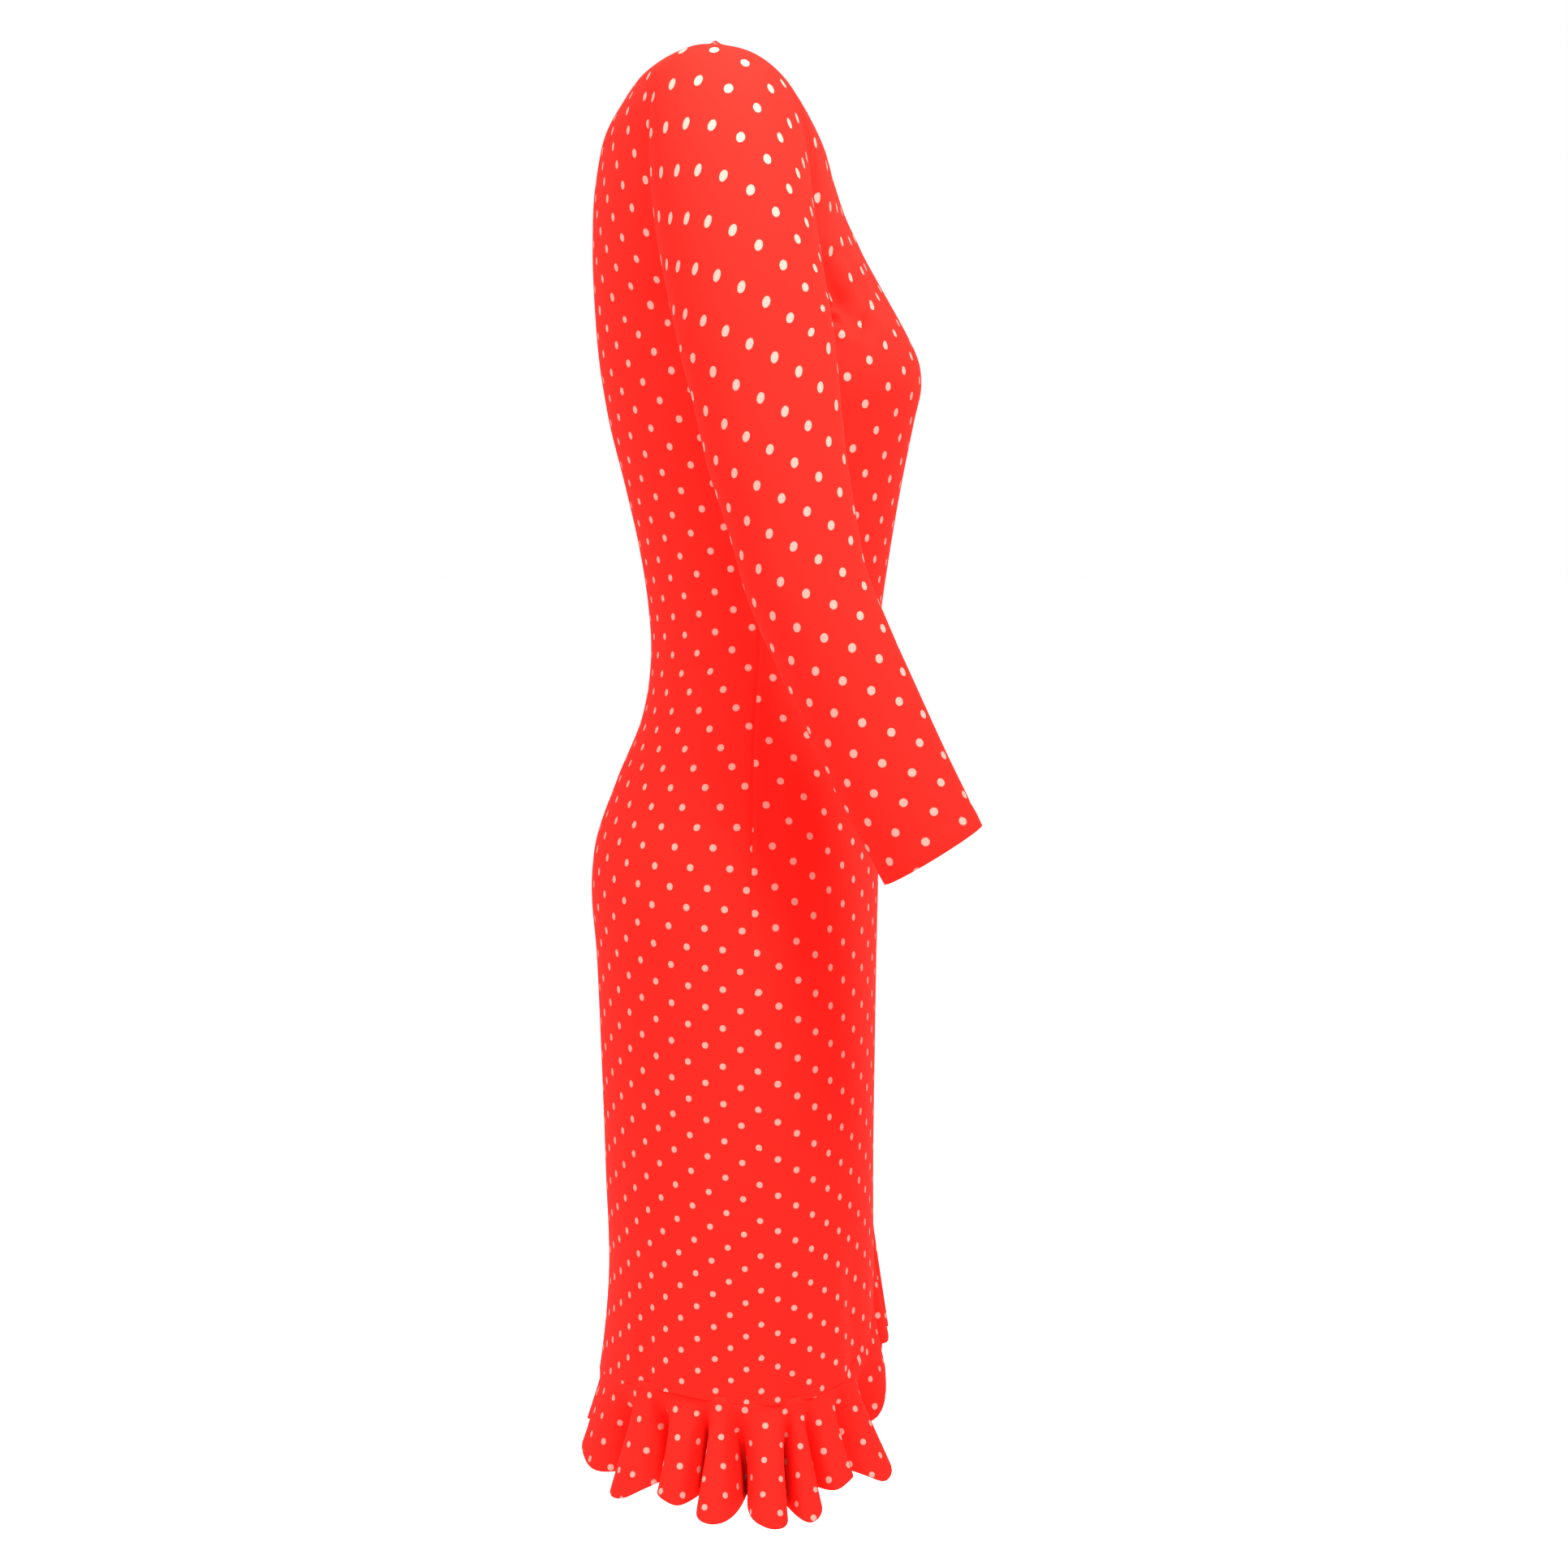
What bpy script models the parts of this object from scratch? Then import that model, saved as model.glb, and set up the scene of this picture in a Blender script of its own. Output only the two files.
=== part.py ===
"""Cocktail dress in its worn form: two body halves, two set-in sleeves, two flounce halves.

Metres, Z up. The origin is midway between the two neck ends of the shoulder seams.
The dress faces -Y, so the wearer's right is -X. Right pieces are built and mirrored.
"""
import math

import bpy
import numpy as np

# Driving dimensions, in metres unless a name says otherwise.
WALL = 0.0012
SEAM_GAP = 0.0003
CHEST_LINE = -0.195
SHOULDER_TURN_DEG = 38.0
SECTION_SQUARE = 2.15
ARMHOLE_SQUARE = 2.5
FLOUNCE_PUSH = 0.70
LOBE_DIP = 0.07
SEAM_BAND = 0.05
EDGE_STRIP = 0.04

# Grid counts.
BODY_COLUMNS = 22
BODY_ROWS = 23
YOKE_ROWS = 10
CAP_RINGS = 7
ARM_RINGS = 12
SLEEVE_COLUMNS = 2 * YOKE_ROWS
WAVE_COLUMNS = 8
FLOUNCE_ROWS = 4

# Body sections from the flounce seam up to the chest line.
# z, depth in front, depth behind, half width, y of the side line.
BODY = [
    (-1.020, 0.1215, 0.0950, 0.1640, -0.0330),
    (-0.976, 0.1205, 0.0890, 0.1635, -0.0330),
    (-0.925, 0.1195, 0.0850, 0.1635, -0.0330),
    (-0.849, 0.1190, 0.0868, 0.1645, -0.0330),
    (-0.748, 0.1200, 0.0902, 0.1680, -0.0320),
    (-0.680, 0.1210, 0.0930, 0.1705, -0.0300),
    (-0.622, 0.1222, 0.0965, 0.1705, -0.0270),
    (-0.597, 0.1226, 0.0940, 0.1680, -0.0270),
    (-0.547, 0.1225, 0.0772, 0.1570, -0.0280),
    (-0.498, 0.1205, 0.0575, 0.1390, -0.0290),
    (-0.448, 0.1205, 0.0508, 0.1220, -0.0320),
    (-0.415, 0.1245, 0.0528, 0.1180, -0.0330),
    (-0.374, 0.1305, 0.0589, 0.1190, -0.0330),
    (-0.325, 0.1388, 0.0698, 0.1265, -0.0320),
    (-0.276, 0.1485, 0.0819, 0.1360, -0.0300),
    (-0.248, 0.1540, 0.0868, 0.1405, -0.0280),
    (-0.228, 0.1515, 0.0897, 0.1420, -0.0260),
    (-0.195, 0.1345, 0.0925, 0.1420, -0.0220),
]

# The flounce seam round the half body, from centre front to centre back.
# angle in degrees, z of the seam, drop of the flounce below it, its mean flare outward.
HEM = [
    (0.0, -0.885, 0.081, 0.006),
    (2.0, -0.888, 0.078, 0.006),
    (6.0, -0.909, 0.061, 0.005),
    (14.0, -0.941, 0.047, 0.004),
    (22.0, -0.961, 0.048, 0.006),
    (31.0, -0.974, 0.064, 0.010),
    (43.0, -0.982, 0.070, 0.012),
    (58.0, -0.987, 0.058, 0.012),
    (74.0, -0.991, 0.077, 0.013),
    (90.0, -0.992, 0.077, 0.014),
    (105.0, -0.990, 0.076, 0.013),
    (118.0, -0.988, 0.067, 0.011),
    (137.0, -0.989, 0.076, 0.008),
    (163.0, -0.997, 0.056, 0.006),
    (180.0, -1.003, 0.045, 0.006),
]

# Flounce waves: count of crests passed, angle in degrees, swing in and out.
WAVES = [
    (0.0, 0.0, 0.006),
    (1.0, 7.0, 0.007),
    (2.0, 17.0, 0.007),
    (3.0, 41.0, 0.020),
    (4.0, 58.0, 0.012),
    (5.0, 73.0, 0.014),
    (6.0, 88.0, 0.017),
    (7.0, 105.0, 0.017),
    (8.0, 118.0, 0.014),
    (9.0, 138.0, 0.015),
    (10.0, 161.0, 0.011),
    (10.5, 180.0, 0.008),
]

# Edge of the V neck, from its low point up to the neck end of the shoulder seam.
# share of the way up, x, y, z.
NECK_FRONT = [
    (0.000, 0.000, -0.1345, -0.195),
    (0.125, -0.010, -0.1220, -0.172),
    (0.250, -0.021, -0.1080, -0.148),
    (0.375, -0.032, -0.0940, -0.124),
    (0.500, -0.044, -0.0845, -0.100),
    (0.625, -0.055, -0.0755, -0.076),
    (0.750, -0.066, -0.0585, -0.050),
    (0.875, -0.076, -0.0320, -0.022),
    (1.000, -0.084, 0.0000, 0.000),
]

# Centre back from the chest line up to the back neck.
# share of the way up, x, y, z.
CENTRE_BACK = [
    (0.00, 0.000, 0.0925, -0.195),
    (0.20, 0.000, 0.0937, -0.145),
    (0.40, 0.000, 0.0912, -0.096),
    (0.55, 0.000, 0.0835, -0.062),
    (0.70, 0.000, 0.0665, -0.036),
]

# Back neck edge on from there to the neck end of the shoulder seam.
NECK_BACK = [
    (0.70, 0.000, 0.0665, -0.036),
    (0.80, -0.034, 0.0560, -0.031),
    (0.90, -0.064, 0.0340, -0.018),
    (1.00, -0.084, 0.0000, 0.000),
]

# Armhole: its shoulder, front, underarm and back points.
ARMHOLE = {
    "top": (-0.1850, -0.0100, -0.0150),
    "front": (-0.1650, -0.0750, -0.1150),
    "under": (-0.1420, -0.0220, -0.1950),
    "back": (-0.1710, 0.0445, -0.0950),
}

# Sleeve cap lines between the armhole and the first arm ring: two handles each.
CAP_HANDLES = {
    "top": ((-0.2180, -0.0110, -0.0160), (-0.2460, -0.0180, -0.1000)),
    "front": ((-0.1830, -0.0755, -0.1320), (-0.1990, -0.0800, -0.1750)),
    "under": ((-0.1500, -0.0240, -0.1985), (-0.1560, -0.0285, -0.2090)),
    "back": ((-0.1900, 0.0450, -0.1220), (-0.2020, 0.0345, -0.1780)),
}

# Arm rings down to the cuff.
# z, x and y of the middle, forward tilt in degrees, half depth, half width.
ARM = [
    (-0.225, -0.2040, -0.0319, 9.5, 0.0544, 0.0460),
    (-0.262, -0.2075, -0.0385, 9.5, 0.0515, 0.0440),
    (-0.300, -0.2100, -0.0446, 9.5, 0.0490, 0.0425),
    (-0.350, -0.2130, -0.0565, 12.0, 0.0450, 0.0400),
    (-0.391, -0.2155, -0.0665, 17.0, 0.0430, 0.0380),
    (-0.436, -0.2180, -0.0853, 23.0, 0.0420, 0.0350),
    (-0.482, -0.2200, -0.1065, 25.0, 0.0415, 0.0320),
    (-0.527, -0.2220, -0.1277, 27.0, 0.0410, 0.0295),
    (-0.581, -0.2240, -0.1553, 31.5, 0.0402, 0.0270),
]

CLOTH_RED = (0.93, 0.030, 0.022, 1.0)


def smooth(xs, ys, at):
    """A smooth curve through the points xs, ys, read at the values in at."""
    xs = np.asarray(xs, float)
    ys = np.asarray(ys, float)
    at = np.asarray(at, float)
    step = np.diff(xs)
    slope = np.diff(ys) / step
    lean = np.empty(len(xs))
    lean[0] = slope[0]
    lean[-1] = slope[-1]
    lean[1:-1] = (slope[:-1] * step[1:] + slope[1:] * step[:-1]) / (step[:-1] + step[1:])
    i = np.clip(np.searchsorted(xs, at, side="right") - 1, 0, len(xs) - 2)
    t = np.clip((at - xs[i]) / step[i], 0.0, 1.0)
    h00 = (1 + 2 * t) * (1 - t) ** 2
    h10 = t * (1 - t) ** 2
    h01 = t * t * (3 - 2 * t)
    h11 = t * t * (t - 1)
    return h00 * ys[i] + h10 * step[i] * lean[i] + h01 * ys[i + 1] + h11 * step[i] * lean[i + 1]


def read(table, at, columns):
    """The named columns of a table, counted from 1, at the values of its first column."""
    keys = [row[0] for row in table]
    return [smooth(keys, [row[c] for row in table], at) for c in columns]


def body_point(angle, z):
    """Points of the right half body: angle 0 at centre front, pi at centre back."""
    front, back, half, side = read(BODY, z, (1, 2, 3, 4))
    power = 2.0 / SECTION_SQUARE
    across = np.abs(np.sin(angle)) ** power
    along = np.abs(np.cos(angle)) ** power
    depth = np.where(angle <= math.pi / 2, -(front + side), back - side)
    x = np.minimum(-half * across, -SEAM_GAP / 2)
    return np.stack([x, side + depth * along, z + 0 * x], axis=-1)


def ring(points, angle, square):
    """A closed loop through its top, front, under and back points."""
    top, front, under, back = [np.asarray(points[k], float) for k in ("top", "front", "under", "back")]
    power = 2.0 / square
    up = np.sign(np.cos(angle)) * np.abs(np.cos(angle)) ** power
    out = np.sign(np.sin(angle)) * np.abs(np.sin(angle)) ** power
    middle = (top + under) / 2
    lift = (front + back) / 2 - middle
    up = np.asarray(up)[..., None]
    out = np.asarray(out)[..., None]
    return middle + (top - under) / 2 * up + (front - back) / 2 * out + lift * out ** 2


def inner_edge(up, facing):
    """The neck side of the yoke: front neck edge, or centre back and then back neck edge."""
    if facing > 0:
        return np.stack(read(NECK_FRONT, up, (1, 2, 3)), axis=-1)
    line = np.stack(read(CENTRE_BACK, up, (1, 2, 3)), axis=-1)
    edge = np.stack(read(NECK_BACK, up, (1, 2, 3)), axis=-1)
    return np.where(up[..., None] < CENTRE_BACK[-1][0], line, edge)


def yoke_point(share, up, facing):
    """Points between the neck edge (share 0) and the armhole edge (share 1)."""
    neck = inner_edge(up, facing)
    arm = ring(ARMHOLE, facing * math.pi * (1 - up), ARMHOLE_SQUARE)
    turn = np.radians(90.0 - (90.0 - SHOULDER_TURN_DEG) * up)
    power = 2.0 / SECTION_SQUARE
    across = np.sin(turn * share) ** power / np.sin(turn) ** power
    along = (1 - np.cos(turn * share) ** power) / (1 - np.cos(turn) ** power)
    x = neck[..., 0] + (arm[..., 0] - neck[..., 0]) * across
    y = neck[..., 1] + (arm[..., 1] - neck[..., 1]) * along
    z = neck[..., 2] + (arm[..., 2] - neck[..., 2]) * across
    y = y - facing * np.where(up > 0.999, SEAM_GAP / 2, 0.0)
    return np.stack([np.minimum(x, -SEAM_GAP / 2), y, z], axis=-1)


def body_angles():
    """Angles of the body columns, closer together at the front where the seam is steep."""
    share = np.linspace(0.0, 1.0, BODY_COLUMNS + 1)
    return math.pi * (share - 0.055 * np.sin(2 * math.pi * share))


def seam_line(angle):
    """Points of the flounce seam on the straight runs between the body columns."""
    columns = body_angles()
    knots = body_point(columns, read(HEM, np.degrees(columns), (1,))[0])
    return np.stack([np.interp(angle, columns, knots[:, i]) for i in range(3)], axis=-1)


def body_mesh():
    """Points and faces of the right half body, one piece from centre front to centre back."""
    angle = body_angles()
    half = (len(angle) - 1) // 2
    hem = read(HEM, np.degrees(angle), (1,))[0]
    points = []
    faces = []
    for i in range(BODY_ROWS + 1):
        share = i / BODY_ROWS
        z = hem + (CHEST_LINE - hem) * share
        points += [tuple(p) for p in body_point(angle, z)]
    width = len(angle)
    for i in range(BODY_ROWS):
        for j in range(width - 1):
            a = i * width + j
            faces.append((a, a + width, a + width + 1, a + 1))
    chest = BODY_ROWS * width
    share = angle[:half + 1] / (math.pi / 2)
    for facing in (1.0, -1.0):
        below = [chest + j if facing > 0 else chest + width - 1 - j for j in range(half + 1)]
        for i in range(1, YOKE_ROWS + 1):
            up = np.full(half + 1, i / YOKE_ROWS)
            start = len(points)
            points += [tuple(p) for p in yoke_point(share, up, facing)]
            above = [start + j for j in range(half + 1)]
            for j in range(half):
                face = (below[j], above[j], above[j + 1], below[j + 1])
                faces.append(face if facing > 0 else face[::-1])
            below = above
    return points, faces


def arm_ring(row):
    """The four points of one arm ring from a row of the arm table."""
    z, x, y, tilt, depth, width = row
    lean = math.radians(tilt)
    ahead = np.array([0.0, -math.cos(lean), math.sin(lean)]) * depth
    middle = np.array([x, y, z])
    side = np.array([-width, 0.0, 0.0])
    return {"top": middle + side, "front": middle + ahead, "under": middle - side, "back": middle - ahead}


def sleeve_mesh():
    """Points and faces of the right sleeve, from the armhole to the open cuff."""
    angle = np.linspace(0.0, 2 * math.pi, SLEEVE_COLUMNS, endpoint=False)
    rings = []
    first = arm_ring(ARM[0])
    for i in range(CAP_RINGS):
        t = i / CAP_RINGS
        points = {}
        for name, (near, far) in CAP_HANDLES.items():
            ends = [np.array(p, float) for p in (ARMHOLE[name], near, far, first[name])]
            weights = ((1 - t) ** 3, 3 * t * (1 - t) ** 2, 3 * t * t * (1 - t), t ** 3)
            points[name] = sum(w * e for w, e in zip(weights, ends))
        square = ARMHOLE_SQUARE + (2.0 - ARMHOLE_SQUARE) * t
        loop = ring(points, angle, square)
        if i == 0:
            loop[:, 0] -= SEAM_GAP * (1.8 - 0.8 * np.cos(angle))
        rings.append(loop)
    heights = np.linspace(ARM[0][0], ARM[-1][0], ARM_RINGS + 1)
    upside = ARM[::-1]
    for z in heights:
        row = [float(z)] + [float(v) for v in read(upside, z, (1, 2, 3, 4, 5))]
        rings.append(ring(arm_ring(row), angle, 2.0))
    points = [tuple(p) for loop in rings for p in loop]
    faces = []
    n = SLEEVE_COLUMNS
    for i in range(len(rings) - 1):
        for j in range(n):
            a = i * n + j
            b = i * n + (j + 1) % n
            faces.append((a, b, b + n, a + n))
    return points, faces


def outward(angle, z):
    """Level direction out of the body at an angle, square to its section."""
    small = 1e-3
    low = np.clip(angle - small, 0.0, math.pi)
    high = np.clip(angle + small, 0.0, math.pi)
    run = body_point(high, z) - body_point(low, z)
    out = np.stack([-run[..., 1], run[..., 0], 0 * z], axis=-1)
    return out / np.linalg.norm(out, axis=-1, keepdims=True)


def flounce_point(count, down):
    """Points of the right flounce: count of crests from centre front, share of its drop."""
    phase = 2 * math.pi * count
    push = FLOUNCE_PUSH * np.clip(down - SEAM_BAND, 0.0, 1.0) * np.sin(phase) / (2 * math.pi)
    counts = [row[0] for row in WAVES]
    degrees = smooth(counts, [row[1] for row in WAVES], count + push)
    swing = smooth(counts, [row[2] for row in WAVES], count)
    angle = np.radians(np.clip(degrees, 0.0, 180.0))
    seam, drop, flare = read(HEM, np.degrees(angle), (1, 2, 3))
    out = outward(angle, seam)
    grown = np.clip((down - SEAM_BAND) / (1 - SEAM_BAND), 0.0, 1.0) ** 1.1
    reach = (flare + swing * np.cos(phase)) * grown
    fall = drop * down * (1 + LOBE_DIP * down * np.cos(phase))
    points = seam_line(angle) + out * reach[..., None]
    points += seam_drop(angle) * SEAM_GAP * 2.0
    points[..., 2] -= fall
    points[..., 0] -= SEAM_GAP / 2 * (0.2 + 1.6 * grown)
    return points


def seam_drop(angle):
    """Direction down from the flounce seam, square to the seam and along the cloth."""
    small = 1e-3
    low = np.clip(angle - small, 0.0, math.pi)
    high = np.clip(angle + small, 0.0, math.pi)
    run = seam_line(high) - seam_line(low)
    run /= np.linalg.norm(run, axis=-1, keepdims=True)
    fall = np.array([0.0, 0.0, -1.0]) + run * run[..., 2:]
    fall[..., 0] *= np.clip(angle / math.radians(8.0), 0.0, 1.0)
    return fall / np.linalg.norm(fall, axis=-1, keepdims=True)


def flounce_mesh():
    """Points and faces of the right half flounce, from the seam to its wavy free edge."""
    last = WAVES[-1][0]
    counts = list(np.linspace(0.0, last, int(round(last * WAVE_COLUMNS)) + 1))
    counts = np.array([0.0, EDGE_STRIP] + counts[1:-1] + [last - EDGE_STRIP, last])
    points = []
    levels = [0.0] + list(np.linspace(SEAM_BAND, 1.0, FLOUNCE_ROWS))
    for level in reversed(levels):
        points += [tuple(p) for p in flounce_point(counts, np.full(len(counts), level))]
    width = len(counts)
    faces = []
    for i in range(len(levels) - 1):
        for j in range(width - 1):
            a = i * width + j
            faces.append((a, a + width, a + width + 1, a + 1))
    return points, faces


def material(name):
    """A matt red cloth material."""
    mat = bpy.data.materials.new(name)
    mat.use_nodes = True
    shader = mat.node_tree.nodes["Principled BSDF"]
    shader.inputs["Base Color"].default_value = CLOTH_RED
    shader.inputs["Roughness"].default_value = 0.7
    mat.diffuse_color = CLOTH_RED
    return mat


def piece(name, points, faces, mirrored, collection):
    """One sewn piece: the open surface with its wall thickened inward."""
    if mirrored:
        points = [(-x, y, z) for x, y, z in points]
        faces = [face[::-1] for face in faces]
    mesh = bpy.data.meshes.new(name)
    mesh.from_pydata([tuple(float(c) for c in p) for p in points], [], faces)
    mesh.update()
    for face in mesh.polygons:
        face.use_smooth = True
    obj = bpy.data.objects.new(name, mesh)
    collection.objects.link(obj)
    wall = obj.modifiers.new("wall", "SOLIDIFY")
    wall.thickness = WALL
    wall.offset = -1.0
    wall.use_even_offset = True
    mesh.materials.append(material(name + "_cloth"))
    return obj


def main():
    """Build every piece into one collection."""
    for old in list(bpy.data.objects):
        bpy.data.objects.remove(old, do_unlink=True)
    collection = bpy.data.collections.new("cocktail_dress")
    bpy.context.scene.collection.children.link(collection)
    for part, (points, faces) in (("body", body_mesh()), ("sleeve", sleeve_mesh()), ("flounce", flounce_mesh())):
        piece(part + "_right", points, faces, False, collection)
        piece(part + "_left", points, faces, True, collection)


main()
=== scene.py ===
"""Looks of the cocktail dress: red crepe with small pale dots, on the forms of its six solids."""

import math

import bmesh
import bpy
import numpy as np
from bpy.props import FloatProperty, FloatVectorProperty, PointerProperty
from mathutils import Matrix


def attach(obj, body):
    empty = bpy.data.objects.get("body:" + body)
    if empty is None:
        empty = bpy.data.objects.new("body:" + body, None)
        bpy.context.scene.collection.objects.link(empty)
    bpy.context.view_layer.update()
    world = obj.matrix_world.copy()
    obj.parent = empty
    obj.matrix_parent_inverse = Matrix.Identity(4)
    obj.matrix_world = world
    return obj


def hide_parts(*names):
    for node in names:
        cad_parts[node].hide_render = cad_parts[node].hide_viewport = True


bl_info = {
    "name": "Dotted Cocktail Dress",
    "version": (1, 0, 0),
    "blender": (4, 5, 0),
    "location": "View3D > Sidebar > Dress",
    "description": "Fine cloth, dots, seams and stage for the cocktail dress frame",
    "category": "Object",
}

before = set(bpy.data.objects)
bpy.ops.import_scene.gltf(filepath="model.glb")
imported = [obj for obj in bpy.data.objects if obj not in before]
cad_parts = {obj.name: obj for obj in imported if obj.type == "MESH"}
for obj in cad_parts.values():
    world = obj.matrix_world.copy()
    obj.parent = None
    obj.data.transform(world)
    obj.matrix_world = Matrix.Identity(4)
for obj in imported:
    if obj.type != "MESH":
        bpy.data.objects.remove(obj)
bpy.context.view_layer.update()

# The forms of the solids, in metres, and degrees where named. Most numbers are those of the part's
# source. The centre gap, the flounce's push and gather, the waves and the front of the armhole and
# of the cap aren't: they follow the photo more closely here.
WALL = 0.0012
SEAM_GAP = 0.0003
CENTRE_GAP = 0.00004
CHEST_LINE = -0.195
SHOULDER_TURN_DEG = 38.0
SECTION_SQUARE = 2.15
ARMHOLE_SQUARE = 2.5
FLOUNCE_PUSH = 0.92
FLOUNCE_GATHER = 0.16
CREST_DIP = 0.07
TROUGH_LIFT = 0.13
SEAM_BAND = 0.05

# z, depth in front, depth behind, half width, y of the side line.
BODY = [
    (-1.020, 0.1215, 0.0950, 0.1640, -0.0330),
    (-0.976, 0.1205, 0.0890, 0.1635, -0.0330),
    (-0.925, 0.1195, 0.0850, 0.1635, -0.0330),
    (-0.849, 0.1190, 0.0868, 0.1645, -0.0330),
    (-0.748, 0.1200, 0.0902, 0.1680, -0.0320),
    (-0.680, 0.1210, 0.0930, 0.1705, -0.0300),
    (-0.622, 0.1222, 0.0965, 0.1705, -0.0270),
    (-0.597, 0.1226, 0.0940, 0.1680, -0.0270),
    (-0.547, 0.1225, 0.0772, 0.1570, -0.0280),
    (-0.498, 0.1205, 0.0575, 0.1390, -0.0290),
    (-0.448, 0.1205, 0.0508, 0.1220, -0.0320),
    (-0.415, 0.1245, 0.0528, 0.1180, -0.0330),
    (-0.374, 0.1305, 0.0589, 0.1190, -0.0330),
    (-0.325, 0.1388, 0.0698, 0.1265, -0.0320),
    (-0.276, 0.1485, 0.0819, 0.1360, -0.0300),
    (-0.248, 0.1540, 0.0868, 0.1405, -0.0280),
    (-0.228, 0.1515, 0.0897, 0.1420, -0.0260),
    (-0.195, 0.1345, 0.0925, 0.1420, -0.0220),
]

# angle in degrees, z of the seam, drop of the flounce below it, its mean flare outward.
HEM = [
    (0.0, -0.885, 0.081, 0.006),
    (2.0, -0.888, 0.078, 0.006),
    (6.0, -0.909, 0.061, 0.005),
    (14.0, -0.941, 0.047, 0.004),
    (22.0, -0.961, 0.048, 0.006),
    (31.0, -0.974, 0.064, 0.010),
    (43.0, -0.982, 0.070, 0.012),
    (58.0, -0.987, 0.058, 0.012),
    (74.0, -0.991, 0.077, 0.013),
    (90.0, -0.992, 0.077, 0.014),
    (105.0, -0.990, 0.076, 0.013),
    (118.0, -0.988, 0.067, 0.011),
    (137.0, -0.989, 0.076, 0.008),
    (163.0, -0.997, 0.056, 0.006),
    (180.0, -1.003, 0.045, 0.006),
]

# count of crests passed, angle in degrees, swing in and out, pinch of the troughs.
WAVES = [
    (0.0, 0.0, 0.006, 0.002),
    (1.0, 7.0, 0.007, 0.003),
    (2.0, 17.0, 0.007, 0.004),
    (3.0, 42.0, 0.020, 0.011),
    (4.0, 60.0, 0.012, 0.011),
    (5.0, 73.0, 0.014, 0.012),
    (6.0, 86.0, 0.017, 0.015),
    (7.0, 103.0, 0.017, 0.020),
    (8.0, 115.0, 0.014, 0.022),
    (9.0, 134.0, 0.015, 0.020),
    (10.0, 161.0, 0.011, 0.009),
    (10.5, 180.0, 0.008, 0.002),
]

# share of the way up, x, y, z.
NECK_FRONT = [
    (0.000, 0.000, -0.1345, -0.195),
    (0.125, -0.010, -0.1220, -0.172),
    (0.250, -0.021, -0.1080, -0.148),
    (0.375, -0.032, -0.0940, -0.124),
    (0.500, -0.044, -0.0845, -0.100),
    (0.625, -0.055, -0.0755, -0.076),
    (0.750, -0.066, -0.0585, -0.050),
    (0.875, -0.076, -0.0320, -0.022),
    (1.000, -0.084, 0.0000, 0.000),
]
CENTRE_BACK = [
    (0.00, 0.000, 0.0925, -0.195),
    (0.20, 0.000, 0.0937, -0.145),
    (0.40, 0.000, 0.0912, -0.096),
    (0.55, 0.000, 0.0835, -0.062),
    (0.70, 0.000, 0.0665, -0.036),
]
NECK_BACK = [
    (0.70, 0.000, 0.0665, -0.036),
    (0.80, -0.034, 0.0560, -0.031),
    (0.90, -0.064, 0.0340, -0.018),
    (1.00, -0.084, 0.0000, 0.000),
]
ARMHOLE = {
    "top": (-0.1850, -0.0100, -0.0150),
    "front": (-0.1650, -0.0700, -0.1150),
    "under": (-0.1420, -0.0220, -0.1950),
    "back": (-0.1710, 0.0445, -0.0950),
}
CAP_HANDLES = {
    "top": ((-0.2180, -0.0110, -0.0160), (-0.2460, -0.0180, -0.1000)),
    "front": ((-0.1830, -0.0705, -0.1320), (-0.1990, -0.0785, -0.1750)),
    "under": ((-0.1500, -0.0240, -0.1985), (-0.1560, -0.0285, -0.2090)),
    "back": ((-0.1900, 0.0450, -0.1220), (-0.2020, 0.0345, -0.1780)),
}

# z, x and y of the middle, forward tilt in degrees, half depth, half width.
ARM = [
    (-0.225, -0.2040, -0.0319, 9.5, 0.0544, 0.0460),
    (-0.262, -0.2075, -0.0385, 9.5, 0.0515, 0.0440),
    (-0.300, -0.2100, -0.0446, 9.5, 0.0490, 0.0425),
    (-0.350, -0.2130, -0.0565, 12.0, 0.0450, 0.0400),
    (-0.391, -0.2155, -0.0665, 17.0, 0.0430, 0.0380),
    (-0.436, -0.2180, -0.0853, 23.0, 0.0420, 0.0350),
    (-0.482, -0.2200, -0.1065, 25.0, 0.0415, 0.0320),
    (-0.527, -0.2220, -0.1277, 27.0, 0.0410, 0.0295),
    (-0.581, -0.2240, -0.1553, 31.5, 0.0402, 0.0270),
]

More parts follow.
